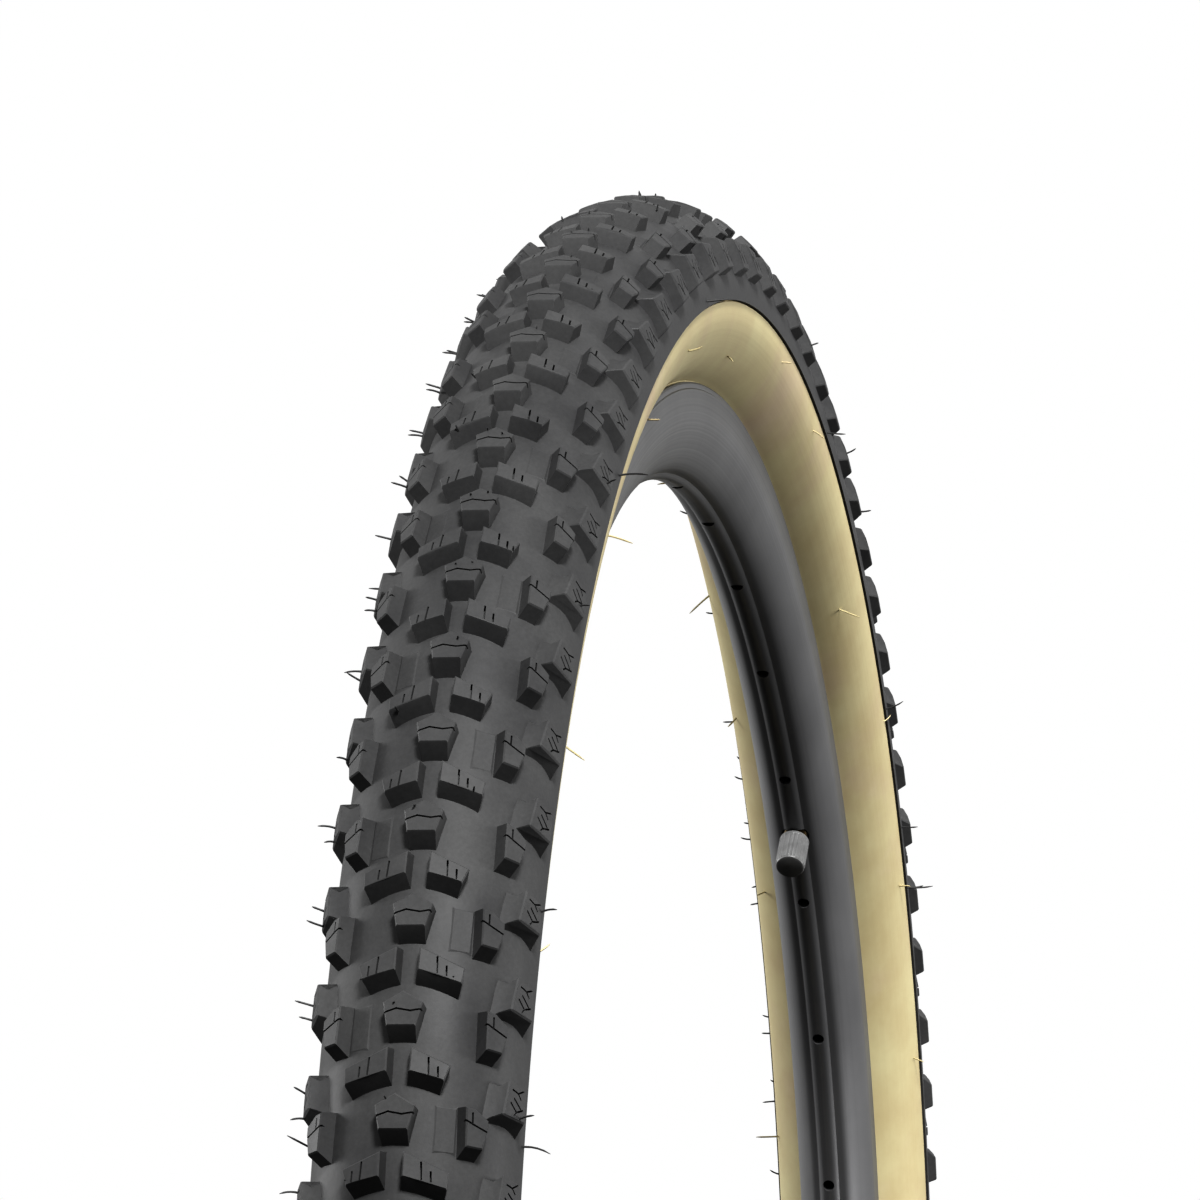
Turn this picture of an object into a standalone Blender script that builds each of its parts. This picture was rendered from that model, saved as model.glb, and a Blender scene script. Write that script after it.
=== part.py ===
"""A knobbly bicycle tire with tan sidewalls, seated on a bare double-wall rim.

The wheel stands upright: the axle runs along Y, the origin is the wheel's centre and Z is up.
The tire's cross-section is built on a circle, and its angles are measured from the crown of the
tread: 0 is the middle of the tread, 90 the widest part of the side, 150 just above the rim.
"""
import math

import bmesh
import bpy
from mathutils import Matrix, Vector

MM = 0.001

# Tire
TIRE_RADIUS = 368 * MM              # wheel centre to the top of the middle knobs
SECTION_CENTRE = 338.5 * MM         # wheel centre to the middle of the tire's round section
BAND_RADIUS = 25.2 * MM             # section radius of the black tread band between its knobs
SKIN_RADIUS = 24.0 * MM             # section radius of the tan sidewall
CASING_RADIUS = 23.0 * MM
CASING_WALL = 0.9 * MM
CLEARANCE = 0.3 * MM                # left between pieces that touch
PITCHES = 92                        # repeats of the tread pattern around the tire
KNOB_LENGTH = 0.56                  # share of one pitch that a knob takes
SHOULDER_KNOB_HEIGHT = 3.6 * MM
TREAD_EDGE = 88                     # degrees from the crown to where the black rubber ends
SHOULDER_OUTER = 76
SHOULDER_INNER = 54
BAND_MIDDLE = 32
MIDDLE_KNOB_EDGE = 9
LAYER_STEP = 30                     # degrees between the lines of the hidden layers
LAYER_END = 150
TIRE_SEGMENTS = PITCHES // 2

# Bead and the leg of the casing that reaches down to it
BEAD_HALF_GAUGE = 7.7 * MM          # middle plane to the bead's centre
BEAD_RING_RADIUS = 313.4 * MM
BEAD_WIRE_RADIUS = 1.0 * MM
LEG_INNER = 5.75 * MM
LEG_OUTER = 9.75 * MM
LEG_BOTTOM = 311.4 * MM
LEG_TOP = 315.0 * MM
LEG_WALL = 0.7 * MM

# Rim
RIM_HALF_WIDTH = 12.0 * MM
RIM_WALL = 1.4 * MM
FLANGE_TOP = 316.3 * MM
SEAT_RADIUS = 309.9 * MM
SEAT_HALF_WIDTH = 7.2 * MM
WELL_RADIUS = 305.2 * MM
WELL_HALF_WIDTH = 6.0 * MM
SIDE_BOTTOM = 305.5 * MM
CREST_RADIUS = 289.4 * MM
CREST_HALF_WIDTH = 4.6 * MM
RIM_SEGMENTS = 72
RIM_START = math.pi / RIM_SEGMENTS  # turns the facets so that each hole is in the middle of one
SPOKES = 36
SPOKE_HOLE_RADIUS = 2.3 * MM
TAPE_HALF_WIDTH = 5.6 * MM
TAPE_THICKNESS = 0.8 * MM
SLEEVE_HALF_ANGLE = math.radians(4.1)

# Inner tube
TUBE_RADIUS = 21.0 * MM
TUBE_SHOULDER_RADIUS = 20.3 * MM
TUBE_BOTTOM = 310.9 * MM
TUBE_WALL = 0.9 * MM

# Valve: every height is a distance from the wheel's centre along the valve's axis
VALVE_ANGLE = math.radians(45)
VALVE_SIDES = 16
VALVE_HOLE_RADIUS = 4.3 * MM
AIR_HOLE_RADIUS = 1.25 * MM
STEM_RADIUS = 3.85 * MM
STEM_BORE = 2.65 * MM
STEM_TIP = 279.1 * MM
STEM_BORE_END = 296.0 * MM
FOOT_RADIUS = 5.4 * MM
FOOT_BOTTOM = 306.6 * MM
FOOT_TOP = 307.6 * MM
PATCH_TOP = 309.6 * MM
PATCH_HALF_LENGTH = 14.0 * MM
PATCH_HALF_WIDTH = 6.2 * MM
CAP_RADIUS = 4.85 * MM
CAP_BORE = 4.15 * MM
CAP_END = 276.4 * MM
CAP_WALL = 1.1 * MM
CAP_MOUTH = 288.1 * MM
CAP_SEAL_RADIUS = 3.6 * MM
CORE_BORE = 1.45 * MM
PLUG_RADIUS = 2.35 * MM
PLUG_TOP = 280.6 * MM
PLUG_BOTTOM = 284.6 * MM
BARREL_RADIUS = 1.9 * MM
BARREL_BOTTOM = 291.0 * MM
BARREL_SEAT = 1.2 * MM
BARREL_THROAT = 0.85 * MM
GASKET_INNER = 2.1 * MM
GASKET_OUTER = 2.5 * MM
GASKET_TOP = 286.2 * MM
GASKET_BOTTOM = 288.2 * MM
PIN_RADIUS = 0.5 * MM
PIN_TIP = 279.7 * MM
PIN_COLLAR_RADIUS = 1.2 * MM
PIN_COLLAR_TOP = 282.3 * MM
PIN_COLLAR_BOTTOM = 283.0 * MM
PIN_HEAD_RADIUS = 1.5 * MM
PIN_HEAD_TOP = 292.7 * MM
PIN_END = 293.4 * MM
SEAL_RADIUS = 1.7 * MM
SEAL_BORE = 0.65 * MM
SPRING_RADIUS = 1.02 * MM
SPRING_WIRE = 0.16 * MM
SPRING_TURNS = 6
SPRING_STEPS = 8                    # straight stretches in each turn of the spring


# ---------------------------------------------------------------- helpers
def clear_scene():
    for thing in list(bpy.data.objects):
        bpy.data.objects.remove(thing, do_unlink=True)


def material(name, colour, roughness, metallic=0.0):
    made = bpy.data.materials.new(name)
    made.use_nodes = True
    shader = made.node_tree.nodes["Principled BSDF"]
    shader.inputs["Base Color"].default_value = (*colour, 1.0)
    shader.inputs["Roughness"].default_value = roughness
    shader.inputs["Metallic"].default_value = metallic
    return made


def add_object(name, bm, surface=None, parent=None, smooth_angle=None):
    bmesh.ops.recalc_face_normals(bm, faces=bm.faces)
    mesh = bpy.data.meshes.new(name)
    bm.to_mesh(mesh)
    bm.free()
    if smooth_angle is not None:
        mesh.shade_smooth()
        mesh.set_sharp_from_angle(angle=math.radians(smooth_angle))
    if surface is not None:
        mesh.materials.append(surface)
    thing = bpy.data.objects.new(name, mesh)
    thing.parent = parent
    bpy.context.scene.collection.objects.link(thing)
    return thing


def section_point(radius, degrees):
    """A point of the tire's round section as (sideways, distance from the wheel's centre)."""
    angle = math.radians(degrees)
    return radius * math.sin(angle), SECTION_CENTRE + radius * math.cos(angle)


def around_axle(side, radius, angle):
    return Vector((radius * math.cos(angle), side, radius * math.sin(angle)))


def mirrored(points):
    """The same half outline on the other side of the middle plane, in reverse order."""
    return [(-side, radius) for side, radius in reversed(points)]


def spin_profile(bm, profile, axis, steps):
    """Turn a closed outline of 3-D points fully around an axis through the origin."""
    corners = [bm.verts.new(point) for point in profile]
    edges = [bm.edges.new((corners[i - 1], corners[i])) for i in range(len(corners))]
    bmesh.ops.spin(bm, geom=corners + edges, cent=(0, 0, 0), axis=axis,
                   angle=2 * math.pi, steps=steps, use_merge=True)


def ring(name, outline, segments, surface, smooth_angle=35, start=0.0):
    """A ring around the axle, from its closed outline of (sideways, radius) points."""
    bm = bmesh.new()
    points = [around_axle(side, radius, start) for side, radius in outline]
    spin_profile(bm, points, (0, 1, 0), segments)
    return add_object(name, bm, surface, smooth_angle=smooth_angle)


def turned(name, outline, surface, parent, origin=0.0, sides=VALVE_SIDES):
    """A hollow turned piece on the valve's axis, from its closed outline of (radius, height)."""
    bm = bmesh.new()
    spin_profile(bm, [Vector((radius, 0, height - origin)) for radius, height in outline], (0, 0, 1), sides)
    thing = add_object(name, bm, surface, parent, smooth_angle=40)
    thing.location.z = origin
    return thing


def turned_solid(name, outline, surface, parent, origin=0.0, sides=VALVE_SIDES):
    """A turned piece whose open outline starts and ends on the valve's axis."""
    bm = bmesh.new()
    start = bm.verts.new((0, 0, outline[0][1] - origin))
    end = bm.verts.new((0, 0, outline[-1][1] - origin))
    rows = []
    for radius, height in outline[1:-1]:
        row = bmesh.ops.create_circle(bm, segments=sides, radius=radius)["verts"]
        bmesh.ops.translate(bm, verts=row, vec=(0, 0, height - origin))
        rows.append(row)
    for upper, lower in zip(rows, rows[1:]):
        for i in range(sides):
            bm.faces.new((upper[i - 1], upper[i], lower[i], lower[i - 1]))
    for i in range(sides):
        bm.faces.new((start, rows[0][i - 1], rows[0][i]))
        bm.faces.new((end, rows[-1][i], rows[-1][i - 1]))
    thing = add_object(name, bm, surface, parent, smooth_angle=40)
    thing.location.z = origin
    return thing


def prism(bm, radius, bottom, top, sides, placed):
    """A closed prism along Z from bottom to top, moved into place by a matrix."""
    height = top - bottom
    shift = placed @ Matrix.Translation((0, 0, bottom + height / 2))
    bmesh.ops.create_cone(bm, cap_ends=True, segments=sides, radius1=radius, radius2=radius,
                          depth=height, matrix=shift)


def outward(angle):
    """The rotation that carries Z to the outward direction at an angle around the axle."""
    return Matrix.Rotation(math.pi / 2 - angle, 4, "Y")


def cut(thing, cutter):
    cutter.hide_render = True
    cutter.display_type = "WIRE"
    modifier = thing.modifiers.new(cutter.name, "BOOLEAN")
    modifier.operation = "DIFFERENCE"
    modifier.object = cutter


# ---------------------------------------------------------------- materials
def black_tread_rubber():
    return material("tread_rubber", (0.022, 0.022, 0.023), 0.72)


def tan_rubber():
    return material("tan_rubber", (0.62, 0.47, 0.25), 0.68)


def casing_fabric():
    return material("casing_fabric", (0.30, 0.25, 0.17), 0.85)


def bead_wire():
    return material("bead_wire", (0.45, 0.40, 0.33), 0.45, 0.9)


def dark_anodised():
    return material("rim_aluminium", (0.055, 0.058, 0.066), 0.36, 0.75)


def bare_aluminium():
    return material("sleeve_aluminium", (0.60, 0.61, 0.62), 0.35, 1.0)


def rim_tape_plastic():
    return material("rim_tape_plastic", (0.12, 0.16, 0.30), 0.55)


def butyl_rubber():
    return material("butyl_rubber", (0.03, 0.03, 0.032), 0.6)


def brass():
    return material("brass", (0.68, 0.52, 0.24), 0.32, 1.0)


def spring_steel():
    return material("spring_steel", (0.55, 0.55, 0.56), 0.3, 1.0)


def seal_rubber():
    return material("seal_rubber", (0.10, 0.04, 0.03), 0.65)


def grey_cap_plastic():
    return material("cap_plastic", (0.50, 0.50, 0.52), 0.5)


# ---------------------------------------------------------------- tire
def tread_row(bm, degrees, section_radius, per_pitch):
    """One line of points around the tire, with per_pitch points to each pitch of the pattern."""
    side, radius = section_point(section_radius, degrees)
    pitch = 2 * math.pi / PITCHES
    row = []
    for i in range(round(PITCHES * per_pitch)):
        if per_pitch == 2:
            half_knob = KNOB_LENGTH / 2 if i % 2 else -KNOB_LENGTH / 2
            angle = (i // 2 + half_knob) * pitch
        else:
            angle = i / per_pitch * pitch
        row.append(bm.verts.new(around_axle(side, radius, angle)))
    return row


def bridge_rows(bm, first, second):
    """Faces between two rows, where one may hold a whole number of times the other's points."""
    coarse, fine = (first, second) if len(first) <= len(second) else (second, first)
    share = len(fine) // len(coarse)
    faces = []
    for i in range(len(coarse)):
        far = [fine[(i * share + j) % len(fine)] for j in range(share, -1, -1)]
        faces.append(bm.faces.new([coarse[i], coarse[(i + 1) % len(coarse)]] + far))
    return faces


def raise_knobs(bm, faces, height, taper):
    """Raise each face into a knob, straight away from the middle of the tire's section."""
    for face in bmesh.ops.extrude_discrete_faces(bm, faces=faces)["faces"]:
        middle = face.calc_center_median()
        round_wheel = Vector((middle.x, 0, middle.z)).normalized()
        away = (middle - round_wheel * SECTION_CENTRE).normalized()
        bmesh.ops.translate(bm, verts=face.verts, vec=away * height)
        for corner in face.verts:
            corner.co = middle + away * height + (corner.co - middle - away * height) * taper


def make_tread():
    """The black rubber band with its knobs: one row on the crown and one on each shoulder."""
    bm = bmesh.new()
    edge_radius = SKIN_RADIUS + 0.1 * MM
    lines = (TREAD_EDGE, SHOULDER_OUTER, SHOULDER_INNER, BAND_MIDDLE, MIDDLE_KNOB_EDGE)
    outer = []
    for degrees in lines + tuple(-line for line in reversed(lines)):
        plain = abs(degrees) in (TREAD_EDGE, BAND_MIDDLE)
        section = edge_radius if abs(degrees) == TREAD_EDGE else BAND_RADIUS
        outer.append(tread_row(bm, degrees, section, 0.5 if plain else 2))
    inner_lines = [-TREAD_EDGE] + list(range(-60, 61, LAYER_STEP)) + [TREAD_EDGE]
    inside = CASING_RADIUS + CLEARANCE
    inner = [tread_row(bm, degrees, inside, 0.5) for degrees in inner_lines]
    strips = [bridge_rows(bm, first, second) for first, second in zip(outer, outer[1:])]
    for first, second in zip(inner, inner[1:]):
        bridge_rows(bm, first, second)
    bridge_rows(bm, outer[-1], inner[0])
    bridge_rows(bm, inner[-1], outer[0])
    bmesh.ops.recalc_face_normals(bm, faces=bm.faces)
    middle = strips[len(strips) // 2]
    shoulders = strips[1] + strips[-2]
    # The faces that hold a knob are the first, third, fifth... of their strip.
    crown = SECTION_CENTRE + BAND_RADIUS
    flat_loss = crown * (1 - math.cos(KNOB_LENGTH * math.pi / PITCHES))
    side_loss = BAND_RADIUS * (1 - math.cos(math.radians(MIDDLE_KNOB_EDGE)))
    raise_knobs(bm, middle[0::2], TIRE_RADIUS - crown + flat_loss + side_loss, 0.86)
    raise_knobs(bm, shoulders[0::2], SHOULDER_KNOB_HEIGHT, 0.84)
    return add_object("tread", bm, black_tread_rubber(), smooth_angle=28)


def make_casing():
    """The fabric body of the tire, with a foot on each side that holds the bead."""
    degrees = list(range(0, LAYER_END + 1, LAYER_STEP))
    outer = [section_point(CASING_RADIUS, angle) for angle in degrees]
    inner = [section_point(CASING_RADIUS - CASING_WALL, angle) for angle in degrees]
    foot = [
        (LEG_INNER + LEG_WALL, LEG_TOP - 0.4 * MM),
        (LEG_INNER + LEG_WALL, LEG_BOTTOM + LEG_WALL),
        (LEG_OUTER, LEG_BOTTOM + LEG_WALL),
        (LEG_OUTER, LEG_BOTTOM),
        (LEG_INNER, LEG_BOTTOM),
        (LEG_INNER, LEG_TOP),
    ]
    right = outer + foot + list(reversed(inner[1:]))
    left = [(-side, radius) for side, radius in reversed(right[1:])]
    outline = right + [inner[0]] + left
    return ring("casing", outline, TIRE_SEGMENTS, casing_fabric())


def make_sidewall(name, sign, surface):
    """The tan rubber skin between the tread's edge and the rim's flange."""
    top = TREAD_EDGE + 1
    outside = [section_point(SKIN_RADIUS, angle) for angle in (top, 104, 120, 135, LAYER_END)]
    inside = [section_point(CASING_RADIUS + CLEARANCE, angle) for angle in (LAYER_END, 120, top)]
    outline = [(sign * side, radius) for side, radius in outside + inside]
    return ring(name, outline, TIRE_SEGMENTS, surface)


def make_bead(name, sign, surface):
    """The wire hoop that locks one edge of the tire under the rim's flange."""
    sides = 6
    outline = []
    for i in range(sides):
        angle = 2 * math.pi * (i + 0.5) / sides
        side = BEAD_HALF_GAUGE + BEAD_WIRE_RADIUS * math.cos(angle)
        outline.append((sign * side, BEAD_RING_RADIUS + BEAD_WIRE_RADIUS * math.sin(angle)))
    return ring(name, outline, TIRE_SEGMENTS, surface, smooth_angle=70)


# ---------------------------------------------------------------- rim
def make_rim():
    """The extruded rim: flanges and bed outside, one hollow chamber inside, drilled for spokes."""
    inner_wall = RIM_HALF_WIDTH - RIM_WALL
    half = [
        (CREST_HALF_WIDTH, CREST_RADIUS),
        (RIM_HALF_WIDTH, SIDE_BOTTOM),
        (RIM_HALF_WIDTH, FLANGE_TOP),
        (inner_wall, FLANGE_TOP),
        (inner_wall, SEAT_RADIUS),
        (SEAT_HALF_WIDTH, SEAT_RADIUS),
        (WELL_HALF_WIDTH, WELL_RADIUS),
    ]
    rim = ring("rim", half + mirrored(half), RIM_SEGMENTS, dark_anodised(), start=RIM_START)
    chamber_half = [
        (CREST_HALF_WIDTH - 0.7 * MM, CREST_RADIUS + 2.3 * MM),
        (RIM_HALF_WIDTH - 1.6 * MM, SIDE_BOTTOM + 0.4 * MM),
        (RIM_HALF_WIDTH - 1.6 * MM, SEAT_RADIUS - 1.6 * MM),
        (WELL_HALF_WIDTH + 0.9 * MM, WELL_RADIUS - RIM_WALL),
    ]
    outline = chamber_half + mirrored(chamber_half)
    chamber = ring("rim_chamber_cutter", outline, SPOKES, None, start=math.pi / SPOKES)
    cut(rim, chamber)
    cut(rim, make_rim_drill())
    return rim


def make_rim_drill():
    """The prisms that drill the rim: one at each spoke, and one right through for the valve."""
    bm = bmesh.new()
    inside = (CREST_RADIUS + WELL_RADIUS) / 2
    for i in range(SPOKES):
        place = outward(2 * math.pi * i / SPOKES)
        prism(bm, SPOKE_HOLE_RADIUS, CREST_RADIUS - 3 * MM, inside, 6, place)
    twist = Matrix.Rotation(math.radians(8), 4, "Z")
    place = outward(VALVE_ANGLE) @ twist
    prism(bm, VALVE_HOLE_RADIUS, CREST_RADIUS - 3 * MM, WELL_RADIUS + 3 * MM, 12, place)
    return add_object("rim_drill_cutter", bm)


def make_rim_tape():
    bottom = WELL_RADIUS + CLEARANCE
    outline = [(TAPE_HALF_WIDTH, bottom), (TAPE_HALF_WIDTH, bottom + TAPE_THICKNESS)]
    outline += mirrored(outline)
    tape = ring("rim_tape", outline, RIM_SEGMENTS, rim_tape_plastic(), start=RIM_START)
    bm = bmesh.new()
    prism(bm, VALVE_HOLE_RADIUS, bottom - 2 * MM, bottom + 3 * MM, 12, outward(VALVE_ANGLE))
    cut(tape, add_object("tape_hole_cutter", bm))
    return tape


def make_rim_sleeve():
    """The short insert that joins the two ends of the rim extrusion, opposite the valve."""
    half = [(3.3 * MM, CREST_RADIUS + 2.9 * MM), (7.9 * MM, WELL_RADIUS - 3.4 * MM)]
    outline = half + mirrored(half)
    seam = VALVE_ANGLE + math.pi
    bm = bmesh.new()
    rows = []
    for angle in (seam - SLEEVE_HALF_ANGLE, seam, seam + SLEEVE_HALF_ANGLE):
        rows.append([bm.verts.new(around_axle(side, radius, angle)) for side, radius in outline])
    bm.faces.new(rows[0])
    bm.faces.new(rows[-1])
    for first, second in zip(rows, rows[1:]):
        for i in range(len(outline)):
            bm.faces.new((first[i - 1], first[i], second[i], second[i - 1]))
    return add_object("rim_joint_sleeve", bm, bare_aluminium())


# ---------------------------------------------------------------- inner tube
def tube_outline(inset):
    """The tube's closed section, drawn in by a wall thickness."""
    half = [section_point(TUBE_RADIUS - inset, angle) for angle in (0, 45, 90)]
    half.append(section_point(TUBE_SHOULDER_RADIUS - inset, 135))
    bottom = [(0.0, TUBE_BOTTOM + inset)]
    return half + bottom + mirrored(half[1:])


def make_inner_tube():
    """The butyl tube, with an air hole at the valve that opens its hollow."""
    tube = ring("inner_tube", tube_outline(0.0), TIRE_SEGMENTS, butyl_rubber(), smooth_angle=60)
    hollow = ring("tube_hollow_cutter", tube_outline(TUBE_WALL), TIRE_SEGMENTS, None)
    cut(tube, hollow)
    bm = bmesh.new()
    prism(bm, AIR_HOLE_RADIUS, PATCH_TOP - 1 * MM, TUBE_BOTTOM + 4 * MM, 8, outward(VALVE_ANGLE))
    cut(tube, add_object("tube_air_cutter", bm))
    return tube


# ---------------------------------------------------------------- valve
def make_valve_axis():
    """An empty whose Z runs outward along the valve, so that heights are wheel radii."""
    axis = bpy.data.objects.new("valve_axis", None)
    axis.rotation_euler = (0, math.pi / 2 - VALVE_ANGLE, 0)
    bpy.context.scene.collection.objects.link(axis)
    return axis


def make_valve_patch(axis):
    """The oval rubber pad that bonds the valve's foot to the tube."""
    bottom = FOOT_TOP + CLEARANCE
    bm = bmesh.new()
    prism(bm, 1.0, bottom, PATCH_TOP, 20, Matrix.Identity(4))
    bmesh.ops.scale(bm, vec=(PATCH_HALF_LENGTH, PATCH_HALF_WIDTH, 1), verts=bm.verts)
    patch = add_object("valve_patch", bm, butyl_rubber(), axis)
    drill = bmesh.new()
    prism(drill, AIR_HOLE_RADIUS, bottom - 1 * MM, PATCH_TOP + 1 * MM, 8, Matrix.Identity(4))
    cut(patch, add_object("patch_air_cutter", drill, parent=axis))
    return patch


def make_valve_stem(axis, surface):
    outline = [
        (AIR_HOLE_RADIUS, FOOT_TOP), (FOOT_RADIUS, FOOT_TOP), (FOOT_RADIUS, FOOT_BOTTOM),
        (STEM_RADIUS, FOOT_BOTTOM), (STEM_RADIUS, STEM_TIP), (STEM_BORE, STEM_TIP),
        (STEM_BORE, STEM_BORE_END), (AIR_HOLE_RADIUS, STEM_BORE_END),
    ]
    return turned("valve_stem", outline, surface, axis)


def make_valve_cap(axis):
    """The screw-on dust cap, closed at the end that points to the axle."""
    chamfer = 0.6 * MM
    outline = [
        (0, CAP_END), (CAP_RADIUS - chamfer, CAP_END), (CAP_RADIUS, CAP_END + chamfer),
        (CAP_RADIUS, CAP_MOUTH), (CAP_BORE, CAP_MOUTH), (CAP_BORE, CAP_END + CAP_WALL),
        (0, CAP_END + CAP_WALL),
    ]
    return turned_solid("valve_cap", outline, grey_cap_plastic(), axis, CAP_END)


def make_cap_seal(axis, surface):
    top = CAP_END + CAP_WALL + CLEARANCE
    bottom = STEM_TIP - CLEARANCE
    outline = [(0, top), (CAP_SEAL_RADIUS, top), (CAP_SEAL_RADIUS, bottom), (0, bottom)]
    return turned_solid("cap_seal", outline, surface, axis, top)


def make_core_plug(axis, surface):
    outline = [
        (CORE_BORE, PLUG_TOP), (PLUG_RADIUS, PLUG_TOP),
        (PLUG_RADIUS, PLUG_BOTTOM), (CORE_BORE, PLUG_BOTTOM),
    ]
    return turned("core_plug", outline, surface, axis, PLUG_TOP)


def make_core_barrel(axis, surface):
    seat = BARREL_BOTTOM - BARREL_SEAT
    top = PLUG_BOTTOM + CLEARANCE
    outline = [
        (CORE_BORE, top), (BARREL_RADIUS, top), (BARREL_RADIUS, BARREL_BOTTOM),
        (BARREL_THROAT, BARREL_BOTTOM), (BARREL_THROAT, seat), (CORE_BORE, seat),
    ]
    return turned("core_barrel", outline, surface, axis, top)


def make_core_gasket(axis, surface):
    outline = [
        (GASKET_INNER, GASKET_TOP), (GASKET_OUTER, GASKET_TOP),
        (GASKET_OUTER, GASKET_BOTTOM), (GASKET_INNER, GASKET_BOTTOM),
    ]
    return turned("core_gasket", outline, surface, axis, GASKET_TOP)


def make_core_pin(axis, surface):
    """The pin that lets air past when it is pushed in, with a collar for its spring."""
    outline = [
        (0, PIN_TIP), (PIN_RADIUS, PIN_TIP), (PIN_RADIUS, PIN_COLLAR_TOP),
        (PIN_COLLAR_RADIUS, PIN_COLLAR_TOP), (PIN_COLLAR_RADIUS, PIN_COLLAR_BOTTOM),
        (PIN_RADIUS, PIN_COLLAR_BOTTOM), (PIN_RADIUS, PIN_HEAD_TOP),
        (PIN_HEAD_RADIUS, PIN_HEAD_TOP), (PIN_HEAD_RADIUS, PIN_END), (0, PIN_END),
    ]
    return turned_solid("core_pin", outline, surface, axis, PIN_TIP, sides=10)


def make_core_seal(axis, surface):
    top = BARREL_BOTTOM + CLEARANCE
    bottom = PIN_HEAD_TOP - CLEARANCE
    outline = [(SEAL_BORE, top), (SEAL_RADIUS, top), (SEAL_RADIUS, bottom), (SEAL_BORE, bottom)]
    return turned("core_seal", outline, surface, axis, top, sides=10)


def make_core_spring(axis):
    """The coil between the pin's collar and the barrel's seat."""
    start = PIN_COLLAR_BOTTOM + CLEARANCE + SPRING_WIRE
    end = BARREL_BOTTOM - BARREL_SEAT - CLEARANCE - SPRING_WIRE
    steps = SPRING_TURNS * SPRING_STEPS
    sides = 5
    bm = bmesh.new()
    rows = []
    for i in range(steps + 1):
        turn = 2 * math.pi * i / SPRING_STEPS
        height = start + (end - start) * i / steps
        row = []
        for j in range(sides):
            around = 2 * math.pi * j / sides
            reach = SPRING_RADIUS + SPRING_WIRE * math.cos(around)
            drop = SPRING_WIRE * math.sin(around)
            row.append(bm.verts.new((reach * math.cos(turn), reach * math.sin(turn), height + drop)))
        rows.append(row)
    for first, second in zip(rows, rows[1:]):
        for j in range(sides):
            bm.faces.new((first[j - 1], first[j], second[j], second[j - 1]))
    bm.faces.new(rows[0])
    bm.faces.new(rows[-1])
    return add_object("core_spring", bm, spring_steel(), axis, smooth_angle=80)


def make_valve():
    axis = make_valve_axis()
    metal = brass()
    rubber = seal_rubber()
    make_valve_patch(axis)
    make_valve_stem(axis, metal)
    make_valve_cap(axis)
    make_cap_seal(axis, rubber)
    make_core_plug(axis, metal)
    make_core_barrel(axis, metal)
    make_core_gasket(axis, rubber)
    make_core_pin(axis, metal)
    make_core_seal(axis, rubber)
    make_core_spring(axis)


def main():
    clear_scene()
    make_tread()
    make_casing()
    tan = tan_rubber()
    make_sidewall("sidewall_left", 1, tan)
    make_sidewall("sidewall_right", -1, tan)
    wire = bead_wire()
    make_bead("bead_left", 1, wire)
    make_bead("bead_right", -1, wire)
    make_rim()
    make_rim_tape()
    make_rim_sleeve()
    make_inner_tube()
    make_valve()


main()
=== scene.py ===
import math
import random

import bmesh
import bpy
from mathutils import Matrix, Vector


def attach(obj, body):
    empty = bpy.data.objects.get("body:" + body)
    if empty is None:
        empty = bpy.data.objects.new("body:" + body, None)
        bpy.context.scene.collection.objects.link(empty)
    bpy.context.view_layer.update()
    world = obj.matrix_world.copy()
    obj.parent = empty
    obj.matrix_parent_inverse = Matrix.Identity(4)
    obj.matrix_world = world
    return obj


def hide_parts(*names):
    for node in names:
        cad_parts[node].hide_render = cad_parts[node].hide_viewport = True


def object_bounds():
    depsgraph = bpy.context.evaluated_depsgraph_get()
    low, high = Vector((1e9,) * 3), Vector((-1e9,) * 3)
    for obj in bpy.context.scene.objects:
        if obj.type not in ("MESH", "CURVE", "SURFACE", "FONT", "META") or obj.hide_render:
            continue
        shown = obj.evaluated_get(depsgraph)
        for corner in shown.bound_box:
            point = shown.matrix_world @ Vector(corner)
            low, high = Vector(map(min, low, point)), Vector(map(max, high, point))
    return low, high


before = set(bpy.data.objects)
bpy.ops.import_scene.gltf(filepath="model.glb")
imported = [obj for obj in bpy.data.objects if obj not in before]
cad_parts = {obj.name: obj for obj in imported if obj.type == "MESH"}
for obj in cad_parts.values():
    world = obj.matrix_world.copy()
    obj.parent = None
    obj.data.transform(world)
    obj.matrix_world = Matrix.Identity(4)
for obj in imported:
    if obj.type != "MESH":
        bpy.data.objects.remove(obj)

CAD_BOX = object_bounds()
MM = 0.001

# Tire (metres and degrees)
SECTION_CENTRE = 338.5 * MM         # wheel centre to the middle of the round section
BAND_RADIUS = 25.2 * MM             # section radius of the black band between its knobs
SKIN_RADIUS = 23.95 * MM
SKIN_INSIDE = 23.3 * MM
CASING_RADIUS = 23.0 * MM
CASING_WALL = 0.9 * MM
PITCHES = 92
PITCH = 2 * math.pi / PITCHES
TREAD_EDGE = 90
BAND_ROWS = 20                      # rows of faces on each side of the crown
BAND_ROW_STEP = 4.15
BAND_THINS_FROM = 62                # degrees from the crown where the band starts to thin
BAND_THINS_OVER = 20
BAND_THINNING = 0.6 * MM
BAND_LIP = 0.65 * MM                # how far the band's edge stands off the tan skin
SKIN_START = 91
SKIN_END = 152

# Knobs (mm, in a flat layout of along, across and height)
ROOT = 0.9                          # how far a knob's foot goes into the band
SIPE_WIDTH = 0.42
SIPE_DEPTH = 1.7
KNOB_ARC = 28.8                     # section radius on which widths are given
RUN_RADIUS = 368.0                  # wheel radius on which lengths are given
TRANSITION_PLACE = (38.6, 45.6)     # degrees from the crown, at even and odd pitches
TRANSITION_SHIFT = (0.0, -0.6)      # along the tread, at even and odd pitches
SHOULDER_SHIFT = (-0.2, 1.2)
TREAD_SMOOTH_ANGLE = 16

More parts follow.
